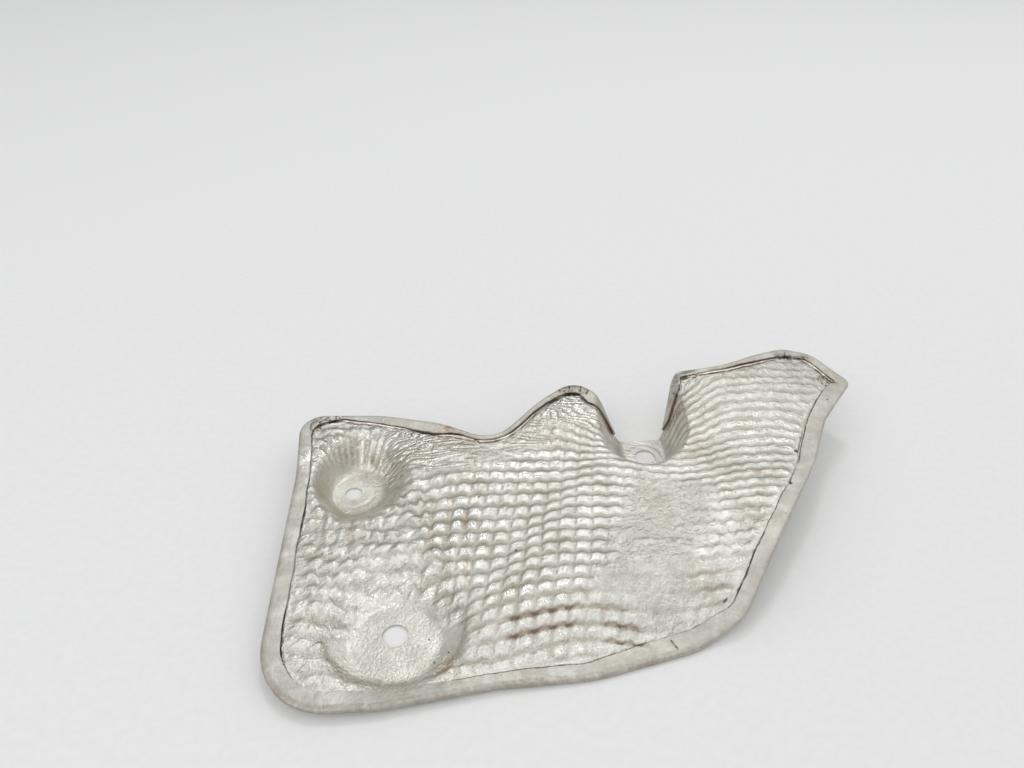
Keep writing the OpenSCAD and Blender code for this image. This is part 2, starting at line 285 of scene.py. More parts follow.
def wrinkle_lines(x, y):
    """Phase of the long fine wrinkles, which fan out from the far dish and then fall
    towards the right."""
    fall = 0.42 * ease(-30, 0, x)
    fan = 1 + 0.9 * (1 - ease(-92, -55, x))
    return ((y - 23) * fan + fall * (x + 30)) / 2.3 + 0.8 * swell(x * 0.3, y, 7, 45)


def ridge(t, power):
    """Rounded ridges between the whole numbers, the flatter on top the higher the power."""
    return 1 - np.abs(2 * (t - np.floor(t)) - 1) ** power


def nearest(points, line):
    """Distance from each point to the nearest point of a line, and that point's index."""
    far, which = np.empty(len(points)), np.empty(len(points), int)
    at_once = 4000
    for k in range(0, len(points), at_once):
        d = ((points[k:k + at_once, None, :] - line[None, :, :]) ** 2).sum(2)
        which[k:k + at_once] = d.argmin(1)
        far[k:k + at_once] = np.sqrt(d.min(1))
    return far, which


def inside(points, loop):
    """True for the points that lie inside a closed loop."""
    x, y = points[:, 0], points[:, 1]
    out = np.zeros(len(points), bool)
    for (ax, ay), (bx, by) in zip(loop, np.roll(loop, -1, 0)):
        if ay != by:
            out ^= ((ay > y) != (by > y)) & (x < (bx - ax) * (y - ay) / (by - ay) + ax)
    return out


def label_field(x, y):
    """1 in the field that is pressed nearly flat, to the right of the middle."""
    dx, dy = x - 22.5, y + 17.0
    a = math.radians(65)
    u = dx * math.cos(a) + dy * math.sin(a)
    v = dy * math.cos(a) - dx * math.sin(a)
    out = np.maximum(np.abs(u) - 27, np.abs(v) - 13.5)
    return 1 - ease(-2, 5, out + 1.5 * swell(x, y, 12, 21))


def pleats(x, y, hole, count, radii, angles, seed):
    """Fine pleats that run out from a hole between two radii and two angles, and the
    share of each point in the zone where they are."""
    dx, dy = x - hole[0], y - hole[1]
    a = np.arctan2(dy, dx)
    (inner, outer), (low, high) = radii, angles
    zone = between(np.hypot(dx, dy), inner, inner + 4, outer - 8, outer)
    zone = zone * between(a, low - 0.25, low + 0.25, high - 0.25, high + 0.25)
    wave = np.sin(a * count + 1.3 * swell(x, y, 16, seed))
    sway = 0.6 + 0.4 * swell(x, y, 9, seed + 1)
    return zone * wave * sway, zone


def streak(x, y, a, b, width):
    """1 along the line from a to b, fading across it and at its ends."""
    a, b = np.array(a, float), np.array(b, float)
    d = b - a
    n = np.linalg.norm(d)
    d = d / n
    s = (x - a[0]) * d[0] + (y - a[1]) * d[1]
    t = (y - a[1]) * d[0] - (x - a[0]) * d[1]
    return bell(t, width) * between(s, -2, 3, n - 3, n + 2)


# Lines where the embossing was drawn towards the dishes: X, then from Y and to Y
DRAWN_LINES = (
    (-106.4, 3, -5), (-102.6, 4, -15), (-97.3, 6, -15), (-92.1, 5, -16),
    (-61.5, 12, -20), (-55.0, 14, -32), (-48.7, 4, -34),
)

# Rows of bumps that are scuffed: from X and to X, then from and to row number
RUBBED = (
    (-34, -8, -8.6, -7.4), (-34, -11, -9.6, -8.4), (-1, 11, -9.1, -8.1), (-1, 13, -10.1, -9.1),
)

# Round stains: middle, radius and strength
STAINS = ((66.6, 9.0, 2.2, 0.7), (42, 24, 6, 0.40), (-56, 46, 2.0, 0.8))

# Places with painted highlights on the bumps' smoother tops: middle, half sizes and strength
GLOSS_AND_HIGHLIGHT_PLACES = (
    (-28, 22, 17, 9, 1.0), (-50, -10, 14, 13, 1.0), (-22, -37, 17, 5, 1.0),
    (80, 34, 22, 16, 1.1), (-16, -56, 22, 5, 0.8),
)

# Crumpled places of the hem: middle, then half sizes. Cracks: from and to.
CRUMPLES = (
    (-107, 53.5, 6.5, 2.6), (-113.5, 48.5, 2.2, 4.5), (-1.5, 59.8, 7.5, 2.2),
    (50.5, 64.2, 5.5, 2.4), (97, 72, 7.0, 1.6), (109.5, 58.5, 3.2, 3.2), (44.5, 60, 2.5, 4),
    (104.5, 72.6, 2.0, 1.2),
)
CRACKS = (
    (-7.2, 59.5, -7.6, 62.8), (-3.2, 59.5, -2.8, 63.0), (1.6, 59.0, 2.3, 62.4),
    (4.2, 57.5, 5.6, 60.4), (-112.5, 51.0, -108.5, 54.2), (-106.0, 52.0, -105.6, 54.5),
    (-102.7, 53.0, -102.2, 55.6), (110.6, 58.6, 111.6, 60.6), (112.0, 57.0, 114.2, 57.2),
    (95.4, 72.0, 96.0, 75.4), (103.0, 72.2, 105.8, 73.0), (21.0, -54.6, 23.0, -57.4),
    (41.5, -43.4, 43.0, -42.4), (-43.4, 43.0, -43.0, 40.6),
)


class Press:
    """Works out the formed height and the surface values of the sheet at given places."""

    def __init__(self, sizes):
        self.pitch = sizes.bump_pitch / MM
        self.height = sizes.bump_height / MM
        self.edge = ring(0, 1.5)[0] - MIDDLE
        self.hem = hem_plan(self.edge, sizes)

    def zones(self, xy):
        """Each point's distances from the holes and the hem, and how far it belongs to
        the fields of the sheet, as shares from 0 to 1."""
        x, y = xy[:, 0], xy[:, 1]
        u, v = lattice(x, y, self.pitch)
        dx, dy = x - NEAR_HOLE[0], y - NEAR_HOLE[1]
        near, angle = np.hypot(dx, dy), np.arctan2(dy, dx)
        dx, dy = x - FAR_HOLE[0], y - FAR_HOLE[1]
        far, turn = np.hypot(dx, dy), np.arctan2(dy, dx)
        tab = np.hypot(x - TAB_HOLE[0], np.minimum(0, y - TAB_HOLE[1]))
        round_tab = np.hypot(x - TAB_HOLE[0], y - TAB_HOLE[1])
        inset, which = nearest(xy, self.edge)
        wide, strip, line = (q[which] for q in self.hem)
        past = inset - wide
        side = between(angle, -3.3, -2.7, -0.1, 0.5)
        rim = 19.5 + 4.5 * np.cos(angle) ** 2
        bowl = near - side * (rim - 15) + 2 * swell(x, y, 12, 33)
        flat, wrinkled = label_field(x, y), far_wrinkles(x, y)
        lobe = ease(35, 62, x) * ease(5, 35, y)
        left = 1 - ease(-72, -52, x)
        calm = ease(16, 24, near) * ease(18, 26, far) * ease(1, 4, past)
        crushed = np.maximum(patch(x, y, 51, -20, 13, 19),
                             patch(x, y, 22, -51 + 0.35 * (x - 20), 22, 8))
        drawn = np.zeros(len(x))
        for gx, start, end in DRAWN_LINES:
            drawn = np.maximum(drawn, streak(x, y, (gx, start), (gx + 0.5, end), 0.9))
        press = ease(0.3, 2.6, past - strip + 0.5 * swell(x, y, 10, 31))
        press = press * ease(13, 19, bowl) * ease(13, 21, far) * ease(8.6, 11, tab)
        press = press * (1 - 0.25 * left) * (1 - 0.25 * bell(y + 58, 8))
        press = press * (1 - 0.88 * flat) * (1 - 0.82 * wrinkled) * (1 - 0.42 * lobe)
        press = press * (1 - 0.5 * bell(np.hypot(x - 33, 1.3 * (y - 22)), 14))
        press = press * (1 - 0.6 * crushed) * (1 - 0.55 * patch(x, y, -98, -4, 12, 10))
        columns = 0.30 + 0.55 * bell(np.hypot(x + 34, (y + 20) * 1.1), 30) - 0.18 * lobe
        columns = columns + 0.25 * patch(x, y, -20, -50, 40, 12)
        columns = np.clip(columns + 0.32 * patch(x, y, -84, -8, 26, 20), 0.08, 0.85)
        upper = pleats(x, y, FAR_HOLE, 40, (12, 31), (-0.9, 3.6), 51)[0]
        lower = pleats(x, y, FAR_HOLE, 30, (13, 31), (-3.6, -0.3), 52)[0]
        to_left, zone_left = pleats(x, y, TAB_HOLE, 22, (11, 30), (2.2, 3.6), 53)
        to_right, zone_right = pleats(x, y, TAB_HOLE, 22, (11, 30), (-0.6, 0.9), 57)
        wave = 0.062 - 0.03 * (1 - ease(-46, -36, y))
        wave = wave + 0.045 * (1 - ease(-70, -55, x)) * ease(-42, -34, y)
        return SimpleNamespace(
            x=x, y=y, u=u, v=v, near=near, angle=angle, far=far, turn=turn, tab=tab,
            round_tab=round_tab, strip=strip, line=line, past=past, side=side, rim=rim, bowl=bowl,
            flat=flat, wrinkled=wrinkled, lobe=lobe, left=left, calm=calm, crushed=crushed,
            drawn=drawn, press=press, columns=columns, wave=wave, upper_pleats=upper,
            lower_pleats=lower, tab_pleats=to_left + to_right, tab_slopes=zone_left + zone_right)

    def relief(self, g):
        """Height of the embossing, pleats, wrinkles and dents over the plain form."""
        x, y, past = g.x, g.y, g.past
        # Rows of bumps: wavy ridges along X, cut into bumps by the columns
        rows = ridge(g.v + g.wave * np.cos(2 * math.pi * g.u), 2.8)
        shape = rows * (1 - g.columns + g.columns * ridge(g.u, 2.8)) - 0.6
        z = self.height * shape * g.press * (1 + 0.22 * swell(x, y, 18, 41))
        # Long wrinkles at the top of the left lobe and along the far edge
        folds = ridge(wrinkle_lines(x, y), 1.6) - 0.5
        z = z + 0.16 * g.wrinkled * (0.4 + 0.6 * ease(-30, -12, x)) * folds * ease(0.4, 2, past)
        # Pleats where the sheet was drawn into the far dish and round the tab
        z = z + (0.62 * g.upper_pleats + 0.30 * g.lower_pleats) * ease(0.4, 2, past)
        z = z + 0.12 * g.tab_pleats
        # Small crumples beside the hem, round the near dish, in the left field, along the
        # near edge and in the crushed places
        beside = (1 - ease(3, 9, past)) * ease(0.5, 2, past) * ease(9, 12, g.tab)
        z = z + 0.10 * beside * swell(x, y, 5.0, 61)
        z = z + 0.22 * between(g.near, 15, 18, 24, 31) * (1 - g.side) * swell(x, y, 4.6, 63)
        z = z + 0.09 * g.left * g.calm * swell(x, y * 1.6, 7, 65)
        z = z + 0.22 * bell(y + 57, 7) * ease(-40, -20, x) * swell(x, y, 4.4, 66) * ease(1, 3, past)
        z = z + 0.25 * g.crushed * swell(x, y, 5.2, 67) * ease(1, 3, past)
        # Rim of the near dish, a soft step round its nearer side
        z = z - 0.65 * g.side * between(g.near, 13, 17, g.rim - 1.6, g.rim + 1.6)
        # Long soft dents of the whole sheet, its soft bend, and the lines drawn to the dishes
        away = ease(16, 30, g.near) * ease(16, 30, g.far) * ease(14, 26, g.tab)
        z = z + 0.45 * away * swell(x, y, 50, 71)
        z = z + 0.5 * away * (ease(-8, 8, across_bend(x, y)) - 0.5) * bell(x + 18, 30)
        z = z - 0.38 * g.drawn
        # The plain field keeps only faint marks of the press
        z = z + 0.07 * g.flat * swell(x, y, 4.5, 73)
        # Coined rings round the holes
        for d, radius in ((g.far, FAR_RING_RADIUS), (g.round_tab, TAB_RING_RADIUS)):
            z = z + 0.06 * (1 - ease(radius - 0.5, radius + 0.3, d))
            z = z - 0.06 * bell(d - radius - 0.6, 0.7)
        return z

    def marks(self, g):
        """Where the sheet is scuffed, stained, crumpled and cracked, and where shade is painted on it.
        """
        x, y = g.x, g.y
        scuff = np.zeros(len(x))
        for x0, x1, v0, v1 in RUBBED:
            across = between(g.v, v0 - 0.1, v0 + 0.1, v1 - 0.1, v1 + 0.1)
            scuff = np.maximum(scuff, between(x, x0 - 2, x0 + 2, x1 - 2, x1 + 2) * across)
        stain_and_shade = 0.16 * g.wrinkled + 0.45 * g.drawn
        for cx, cy, radius, share in STAINS:
            stain_and_shade = stain_and_shade + share * bell(np.hypot(x - cx, y - cy), radius)
        # On the far dish's far wall: a brown stain with painted shade, darker in the pleats' hollows
        wall = bell(g.far - 18.5, 4) * bell(g.turn - 1.75, 0.85)
        stain_and_shade = stain_and_shade + 0.8 * wall * (0.5 - 1.2 * g.upper_pleats)
        stain_and_shade = stain_and_shade + 0.28 * g.tab_slopes * (0.5 + 0.5 * swell(x, y, 6, 83))
        # Painted shade along the near dish's rim, on its nearer side
        stain_and_shade = stain_and_shade + 0.45 * g.side * bell(g.near - g.rim, 1.8)
        stain_and_shade = stain_and_shade + 0.9 * streak(x, y, (-75, 31), (-67, 34), 0.5)
        stain_and_shade = stain_and_shade + 0.25 * np.clip(swell(x, y, 26, 85) - 0.3, 0, 1)
        stain_and_shade = stain_and_shade + 0.22 * between(g.far, 7.6, 8.6, 13, 17)
        stain_and_shade = stain_and_shade + 0.2 * bell(g.round_tab - TAB_RING_RADIUS - 0.8, 0.7)
        crumple, crack = np.zeros(len(x)), np.zeros(len(x))
        for spot in CRUMPLES:
            crumple = np.maximum(crumple, patch(x, y, *spot))
        for ax, ay, bx, by in CRACKS:
            dx, dy = bx - ax, by - ay
            t = np.clip(((x - ax) * dx + (y - ay) * dy) / (dx * dx + dy * dy), 0, 1)
            crack = np.maximum(crack, bell(np.hypot(x - ax - t * dx, y - ay - t * dy), 0.55))
        return {"scuff": scuff, "stain_and_shade": np.clip(stain_and_shade, 0, 1), "crumple": crumple, "crack": crack}

    def finish(self, g):
        """Where the press left fine crinkles, where painted highlights go and the sheet is smoother,
        and where it is dull.
        """
        x, y = g.x, g.y
        crinkle = 0.55 + 0.3 * g.left + 0.5 * bell(y + 57, 8)
        crinkle = crinkle + 0.5 * bell(g.near - 20, 7) * (1 - g.side)
        crinkle = crinkle * (0.06 + 0.94 * ease(13.5, 16.5, g.bowl))
        crinkle = crinkle * (0.15 + 0.85 * ease(12, 16, g.far))
        crinkle = crinkle * (1 - 0.75 * bell(g.far - 19, 7) * bell(g.turn - 1.8, 1.3))
        crinkle = crinkle + 0.5 * g.flat + 0.3 * g.lobe + 0.5 * g.crushed
        crinkle = crinkle + 0.4 * g.wrinkled * bell(x + 38, 20)
        crinkle = crinkle * ease(8, 11, g.tab) * ease(-0.3, 1, g.past - g.strip)
        # Painted highlights on the bumps' tops, which are smoother there as well
        gloss_and_highlight = 0.25 + 0.6 * g.crushed
        for cx, cy, rx, ry, share in GLOSS_AND_HIGHLIGHT_PLACES:
            gloss_and_highlight = gloss_and_highlight + share * patch(x, y, cx, cy, rx, ry)
        gloss_and_highlight = gloss_and_highlight + bell(g.far - 21, 5) * bell(g.turn - 2.5, 0.8)
        gloss_and_highlight = gloss_and_highlight + bell(g.near - 20, 5) * (1 - g.side)
        # Painted highlights on the walls of the far and the near dish, which are smoother there as well
        wall = bell(g.far - 20.5, 5) * bell(g.turn - 2.3, 0.8)
        wall = wall + 0.7 * bell(g.near - 19, 5) * bell(g.angle - 1.9, 1.0)
        dull = np.maximum(g.flat, 0.9 * (1 - ease(11, 18, g.bowl)))
        dull = np.maximum(dull, 0.6 * ease(30, 55, x) * ease(-5, 20, y))
        creased = g.wrinkled * ease(0.2, 1.2, g.past - g.strip) * (1 - 0.6 * bell(x + 38, 17))
        return {"crinkle": crinkle, "gloss_and_highlight": np.clip(gloss_and_highlight, 0, 1), "wall": np.clip(wall, 0, 1),
                "dull": dull, "creased": creased, "crease": wrinkle_lines(x, y),
                "dome": (1 - ease(-62, -46, x)) * g.calm}

    def top(self, xy):
        """Height of the sheet's upper side with all its relief."""
        g = self.zones(xy)
        return self.relief(g) + field(g.x, g.y)

    def values(self, xy):
        """The surface values at each point, by the names under which the mesh keeps them."""
        g = self.zones(xy)
        return {**vars(g), **self.marks(g), **self.finish(g)}


# Staggered rows of points: distance between rows as a share of that between points.
# Points round a bore, then distances in mm between circles round it and along them.
ROW_SHARE = 0.866
BORE_POINTS = 64
CIRCLE_GAP = 0.5
CIRCLE_STEP = 0.75


def circle(centre, radius, count, turn=0.0):
    a = (np.arange(count) + turn) * 2 * math.pi / count
    return np.stack([centre[0] + radius * np.cos(a), centre[1] + radius * np.sin(a)], 1)


def coined(centre, hole, outer):
    """Circles of points round a hole, so that its ring is pressed cleanly."""
    out = []
    steps = round((outer - hole) / CIRCLE_GAP)
    for i in range(1, steps + 1):
        r = hole + (outer - hole) * i / steps
        out.append(circle(centre, r, round(2 * math.pi * r / CIRCLE_STEP), 0.5 * (i % 2)))
    return np.concatenate(out)


def triangulate(loop, spacing):
    """Triangles that fill the loop round the holes, on staggered rows of points. The
    points of the loop and of the holes come first and keep their order."""
    low, high = loop.min(0), loop.max(0)
    rows = int((high[1] - low[1]) / (spacing * ROW_SHARE)) + 1
    points = []
    for j in range(rows):
        xx = np.arange(low[0] + (j % 2) * spacing / 2, high[0], spacing)
        points.append(np.stack([xx, np.full(len(xx), low[1] + j * spacing * ROW_SHARE)], 1))
    points = np.concatenate(points)
    rounds = []
    for centre, hole, outer in HOLES:
        points = points[np.linalg.norm(points - centre, axis=1) > outer + 0.45]
        rounds.append(coined(centre, hole, outer))
    points = np.concatenate([points, *rounds])
    points = points[inside(points, loop)]
    points = points[nearest(points, loop)[0] > 0.5 * spacing]
    bores = [circle(centre, hole, BORE_POINTS) for centre, hole, outer in HOLES]
    edges, start = [], 0
    for part in (loop, *bores):
        n = len(part)
        edges += [(start + k, start + (k + 1) % n) for k in range(n)]
        start += n
    everything = np.concatenate([loop, *bores, points])
    result = delaunay_2d_cdt([Vector(p) for p in everything], edges, [], 0, 1e-5)
    if len(result[0]) != len(everything):
        raise RuntimeError("the sheet's edge crosses itself")
    home = np.array([o[0] for o in result[3]])
    faces = home[np.array([f[:] for f in result[2]])]
    a, b, c = (everything[faces[:, k]] for k in range(3))
    area = (b[:, 0] - a[:, 0]) * (c[:, 1] - a[:, 1]) - (b[:, 1] - a[:, 1]) * (c[:, 0] - a[:, 0])
    faces[area < 0] = faces[area < 0][:, ::-1]
    centres = (a + b + c) / 3
    good = inside(centres, loop) & (np.abs(area) > 1e-4)
    for bore in bores:
        good &= ~inside(centres, bore)
    return everything, faces[good]


# Hem

# Clockwise along the outline: place, width of the folded edge, width of the strip beside
# it, and how dark the painted shadow line along it is.
HEM = (
    (-116, 52, 5.2, 0.1, 0.5), (-110, 56, 4.0, 0.1, 0.9), (-104, 56, 2.2, 0.6, 1.0),
    (-100, 56.5, 2.3, 1.5, 1.0), (-90, 56, 3.9, 1.5, 1.0), (-80, 54, 5.1, 1.3, 1.0),
    (-70, 52, 6.0, 0.4, 1.0), (-61, 49.5, 6.4, 0.3, 1.0), (-57, 47.5, 5.0, 0.9, 1.0),
    (-54, 46, 2.9, 1.9, 0.9), (-50, 44.5, 2.1, 2.1, 0.9), (-44.4, 43.4, 2.0, 1.9, 0.9),
    (-43.2, 43.3, 2.4, 0.3, 1.0), (-41.8, 43.2, 2.4, 1.4, 0.8), (-35, 44, 2.1, 1.4, 0.8),
    (-25, 49, 2.1, 1.3, 0.8), (-18, 56, 2.4, 0.6, 0.8), (-10, 61, 3.2, 0.3, 0.9),
    (-2, 63.5, 3.9, 0.2, 1.0), (4, 62, 4.4, 0.3, 1.0), (9, 60, 6.0, 0.6, 1.0),
    (14, 58, 5.5, 0.8, 1.0), (19, 54, 3.0, 0.5, 1.0), (20.8, 52.4, 2.8, 0.1, 0.0),
    (37.4, 52.8, 2.8, 0.1, 0.0), (39, 54, 2.8, 0.4, 1.0),
    (42, 60, 4.8, 0.6, 1.0), (44.5, 66, 3.6, 0.3, 1.0), (52, 68, 2.8, 0.8, 1.0),
    (60, 67.5, 2.2, 1.5, 0.8), (72, 68, 2.3, 1.6, 0.8), (82, 72, 3.2, 1.2, 0.9),
    (92, 76, 4.5, 0.4, 1.0), (100, 76.5, 5.0, 0.4, 1.0), (106, 74, 4.8, 1.0, 1.0),
    (112, 66, 5.2, 1.5, 1.0), (118, 58, 6.0, 0.6, 1.0), (114, 50, 7.4, 0.2, 0.9),
    (104, 38, 7.1, 0.3, 0.9), (94, 20, 6.5, 0.8, 1.2), (86, 5, 5.8, 0.5, 0.9),
    (81, -2, 5.6, 0.2, 1.1), (68, -19, 6.1, 0.4, 1.6), (53, -38, 5.5, 0.2, 2.4),
    (40, -50, 6.2, 0.1, 0.15), (24, -59, 7.4, 0.1, 0.12), (18, -61, 7.4, 0.1, 0.3),
    (14, -62.5, 7.3, 0.1, 1.6), (-10, -67, 6.2, 0.1, 4.0), (-46, -71, 5.3, 0.1, 3.0),
    (-52, -72, 5.3, 0.1, 0.10), (-75, -76, 6.6, 0.1, 0.10), (-95, -76.5, 7.0, 0.1, 0.15),
    (-108, -68, 6.6, 0.1, 0.2), (-114, -50, 6.0, 0.1, 0.22), (-115, -10, 5.8, 0.1, 0.16),
    (-117, 25, 5.4, 0.1, 0.25), (-119, 42, 5.2, 0.1, 0.4),
)

# Nicks in the folded edge on the right, and corners where it is puckered: number of the
# corner, reach in mm and share
NICKS = ((77.1, -0.2), (84.2, 18.2))
PUCKERED = (
    (0, 11, 0.8), (5, 8, 0.6), (8, 8, 0.9), (10, 12, 0.6), (11, 9, 0.8), (12, 8, 0.7),
    (20, 20, 0.2),
)

# Mean width of the folded edge in the plan above, and how far the sheet's edge stays
# inside the outline, in mm
PLAN_WIDTH = 7.0
CLEARANCE = 0.06

# Points round the fold, then back along the flange: share of its width, and how far its
# end falls towards the sheet, in mm
FOLD_POINTS = 8
FLANGE = ((0.12, 0.02), (0.28, 0.06), (0.5, 0.15), (0.75, 0.28), (0.9, 0.38), (1.0, 0.46))


def hem_plan(p, sizes):
    """Width of the folded edge, of the strip and strength of the line at each point."""
    length = np.linalg.norm(np.roll(p, -1, 0) - p, axis=1)
    s = np.cumsum(length) - length
    anchors = np.array(HEM)
    at = s[nearest(anchors[:, :2], p)[1]]
    order = np.argsort(at)
    wide, strip, line = (np.interp(s, at[order], anchors[order, k], period=s[-1] + length[-1])
                         for k in (2, 3, 4))
    wide = wide + sizes.hem_width / MM - PLAN_WIDTH
    wide = wide + 0.16 * np.sin(s / 5.1) + 0.10 * np.sin(s / 2.3 + 1)
    for nx, ny in NICKS:
        wide = wide - 0.6 * bell(np.hypot(p[:, 0] - nx - 5, p[:, 1] - ny + 2), 1.6)
    return np.maximum(wide, 1.8), strip, line


def gather_share(p):
    """How much the folded edge is puckered: at the outward corners, where it is squeezed."""
    out = np.zeros(len(p))
    for i, reach, share in PUCKERED:
        c = place(CORNERS[i][0], CORNERS[i][1]) - MIDDLE
        out = np.maximum(out, share * bell(np.linalg.norm(p - c, axis=1), reach))
    return out


def hemmed_edge(sizes, press, step):
    """Rings of points from the body's edge out to the fold and back along the flange.
    Gives the rings, how many of them are the body's, which points are hemmed, and the
    values of the hem's plan at each point."""
    insets = np.arange(0, 12.5, 0.5)
    stack = np.array([ring(d, step, sizes.hem_width / MM / 16)[0] for d in insets]) - MIDDLE
    plain = ring(0, step)[1]
    n = len(plain)
    index = np.arange(n)
    p0 = stack[0]
    length = np.linalg.norm(np.roll(p0, -1, 0) - p0, axis=1)
    s = np.cumsum(length) - length

    def at(inset):
        q = np.clip(inset / insets[1], 0, len(stack) - 1.001)
        i = q.astype(int)
        f = (q - i)[:, None]
        return stack[i, index] * (1 - f) + stack[i + 1, index] * f

    total = s[-1] + length[-1]
    ends = s[np.flatnonzero(plain != np.roll(plain, 1))]
    run = np.min([np.abs((s - e + total / 2) % total - total / 2) for e in ends], axis=0)
    wide, strip, line = hem_plan(p0, sizes)
    wide = np.minimum(wide, 2.8 + 0.6 * run)
    strip = np.maximum(strip, 0.3)
    bead = np.clip((strip - 0.3) / 0.7, 0, 1) * ease(2, 6, run)
    gather = gather_share(p0)
    radius = sizes.hem_gap / MM / 2
    start = sizes.sheet_thickness / MM + radius + CLEARANCE
    zero = np.zeros(n)
    under = wide - 0.4 - start
    uneven = 0.07 * np.sin(s / 1.3) + 0.06 * np.sin(s / 0.7 + 2)
    body = [(wide + strip + 2.2, zero), (wide + strip + 1.0, zero),
            (wide + strip + 0.4 + uneven, -0.10 * bead), (wide + strip + 0.1 + uneven, zero),
            (wide + strip - 0.1 + uneven, 0.34 * bead), (wide + 0.5 * strip, 0.44 * bead),
            (wide + 0.05, 0.30 * bead), (start + under, -0.08 * bead),
            (start + 0.6 * under, zero), (start + 0.25 * under, zero), (start + zero, zero)]
    rows, past, m = [], [], len(body)
    for j, (inset, level) in enumerate(body):
        edge_inset = CLEARANCE + 1.4 * (1 - j / (m - 1))
        xy = at(np.where(plain, edge_inset, inset))
        rows.append(np.column_stack([xy, press.top(xy) + np.where(plain, 0, level)]))
        past.append(np.where(plain, 6, inset - wide))
    for t in np.linspace(0, math.pi, FOLD_POINTS)[1:]:
        xy = at(start - radius * math.sin(t) + zero)
        rows.append(np.column_stack([xy, field(xy[:, 0], xy[:, 1]) + radius * (1 - math.cos(t))]))
        past.append(start - wide)
    for q, fall in FLANGE:
        xy = at(start + (wide - start) * q)
        x, y = xy[:, 0], xy[:, 1]
        level = 2 * radius - fall + 0.12 * q * swell(x, y, 13, 91) + 0.06 * q * swell(x, y, 4, 93)
        level = level + gather * q ** 1.3 * (0.26 * np.sin(s / 0.62 + 2 * np.sin(s / 7)) + 0.1)
        level = level - 0.30 * streak(x, y, (21.6, -56.2), (23.2, -58.7), 0.8)
        z = field(x, y) + np.clip(level, 0.08, 0.62)
        rows.append(np.column_stack([xy, z]))
        past.append((start - wide) * (1 - q))
    return np.array(rows), m, ~plain, {"past": np.array(past), "strip": strip, "line": line}


def sheet_face(sizes):
    """The sheet's inner face: the embossed body's upper side, then round the fold to the
    flange's lower side. Gives the points in mm, the faces and the values of each point."""
    press = Press(sizes)
    rows, body_rows, hemmed, plan = hemmed_edge(sizes, press, sizes.edge_step / MM)
    n = rows.shape[1]
    flat, faces = triangulate(rows[0, :, :2], sizes.point_spacing / MM)
    points = [np.column_stack([flat, press.top(flat)])]
    faces = [tuple(f) for f in faces.tolist()]
    ids = np.full(rows.shape[:2], -1)
    ids[0] = np.arange(n)
    total = len(flat)
    for m in range(1, len(rows)):
        use = np.ones(n, bool) if m < body_rows else hemmed
        ids[m, use] = total + np.arange(use.sum())
        points.append(rows[m, use])
        total += int(use.sum())
    for m in range(len(rows) - 1):
        for k in range(n):
            j = (k + 1) % n
            quad = (ids[m, k], ids[m, j], ids[m + 1, j], ids[m + 1, k])
            if min(quad) >= 0:
                faces.append(tuple(int(q) for q in quad))
    points = np.concatenate(points)
    values = press.values(points[:, :2])
    values["hem"], values["fold"] = np.zeros(total), np.zeros(total)
    for m in range(len(rows)):
        use = np.ones(n, bool) if m < body_rows else hemmed
        values["past"][ids[m, use]] = plan["past"][m, use]
        values["strip"][ids[m, use]] = plan["strip"][use]
        values["line"][ids[m, use]] = plan["line"][use]
        if m >= body_rows:
            values["hem"][ids[m, use]] = 1
        if body_rows <= m < body_rows + FOLD_POINTS:
            values["fold"][ids[m, use]] = 1 - 0.8 * ease(-66, -40, rows[m, use, 1])
    values["past"] = np.clip(values["past"], -3, 8)
    x, y = points[:, 0], points[:, 1]
    rust = streak(x, y, (12, 46), (19, 53), 2.6) + streak(x, y, (45, 48), (40, 53), 2.4)
    rust = rust + 0.35 * streak(x, y, (-63, 46.5), (-54, 44.5), 2.2)
    values["rust"] = np.clip(rust, 0, 1)
    points[:, 2] = np.maximum(points[:, 2], sizes.sheet_thickness / MM + 0.03)
    return points, faces, values


# Blender pieces

# Values that the mesh keeps at its points and the material reads
VALUES = (
    "press", "columns", "wave", "past", "strip", "line", "scuff", "stain_and_shade", "rust", "hem", "fold",
    "crumple", "crack", "crinkle", "gloss_and_highlight", "creased", "crease", "wall", "dull", "dome",
)


def settings_of(context):
    return context.scene.heat_shield_sizes


def apply_modifier(obj, kind, **settings):
    bpy.ops.object.select_all(action="DESELECT")
    obj.select_set(True)
    bpy.context.view_layer.objects.active = obj
    modifier = obj.modifiers.new(kind.title(), kind)
    for name, value in settings.items():
        setattr(modifier, name, value)
    bpy.ops.object.modifier_apply(modifier=modifier.name)


def add(tree, kind, *sockets, named=(), out=0, **settings):
    """Adds one node with its settings and gives back one of its outputs. The sockets are
    filled in their order, or by name or number from a dict: another node's output is
    linked, and any other value is set."""
    made = tree.nodes.new("ShaderNode" + kind)
    for name, value in settings.items():
        setattr(made, name, value)
    for key, value in (*enumerate(sockets), *dict(named).items()):
        if isinstance(value, bpy.types.NodeSocket):
            tree.links.new(value, made.inputs[key])
        else:
            made.inputs[key].default_value = value
    return made.outputs[out] if len(made.outputs) else None


def empty_material(name):
    """A material without nodes, and the function that adds one to it."""
    material = bpy.data.materials.new(name)
    material.use_nodes = True
    material.node_tree.nodes.clear()
    return material, partial(add, material.node_tree)


# Noises of the sheet: mm from hill to hill, detail, roughness. The last two are drawn out
# along the rows.
NOISES = {
    "grain": (1.1, 3, 0.6), "cloud": (9, 3, 0.5), "handling": (6, 5, 0.65),
    "rubbing_and_highlights": (2.4, 3, 0.5), "wear": (2.2, 4, 0.5), "wander": (2.4, 4, 0.6),
    "breaks": (3.5, 3, 0.5), "folds": (3.6, 1, 0.5), "curls": (2.2, 3, 0.55),
    "broad": (2.6, 3, 0.5), "fine": (0.6, 1, 0.5), "sway": (3, 3, 0.5), "fade": (4, 1, 0.5),
}
DRAWN_OUT = ("sway", "fade")

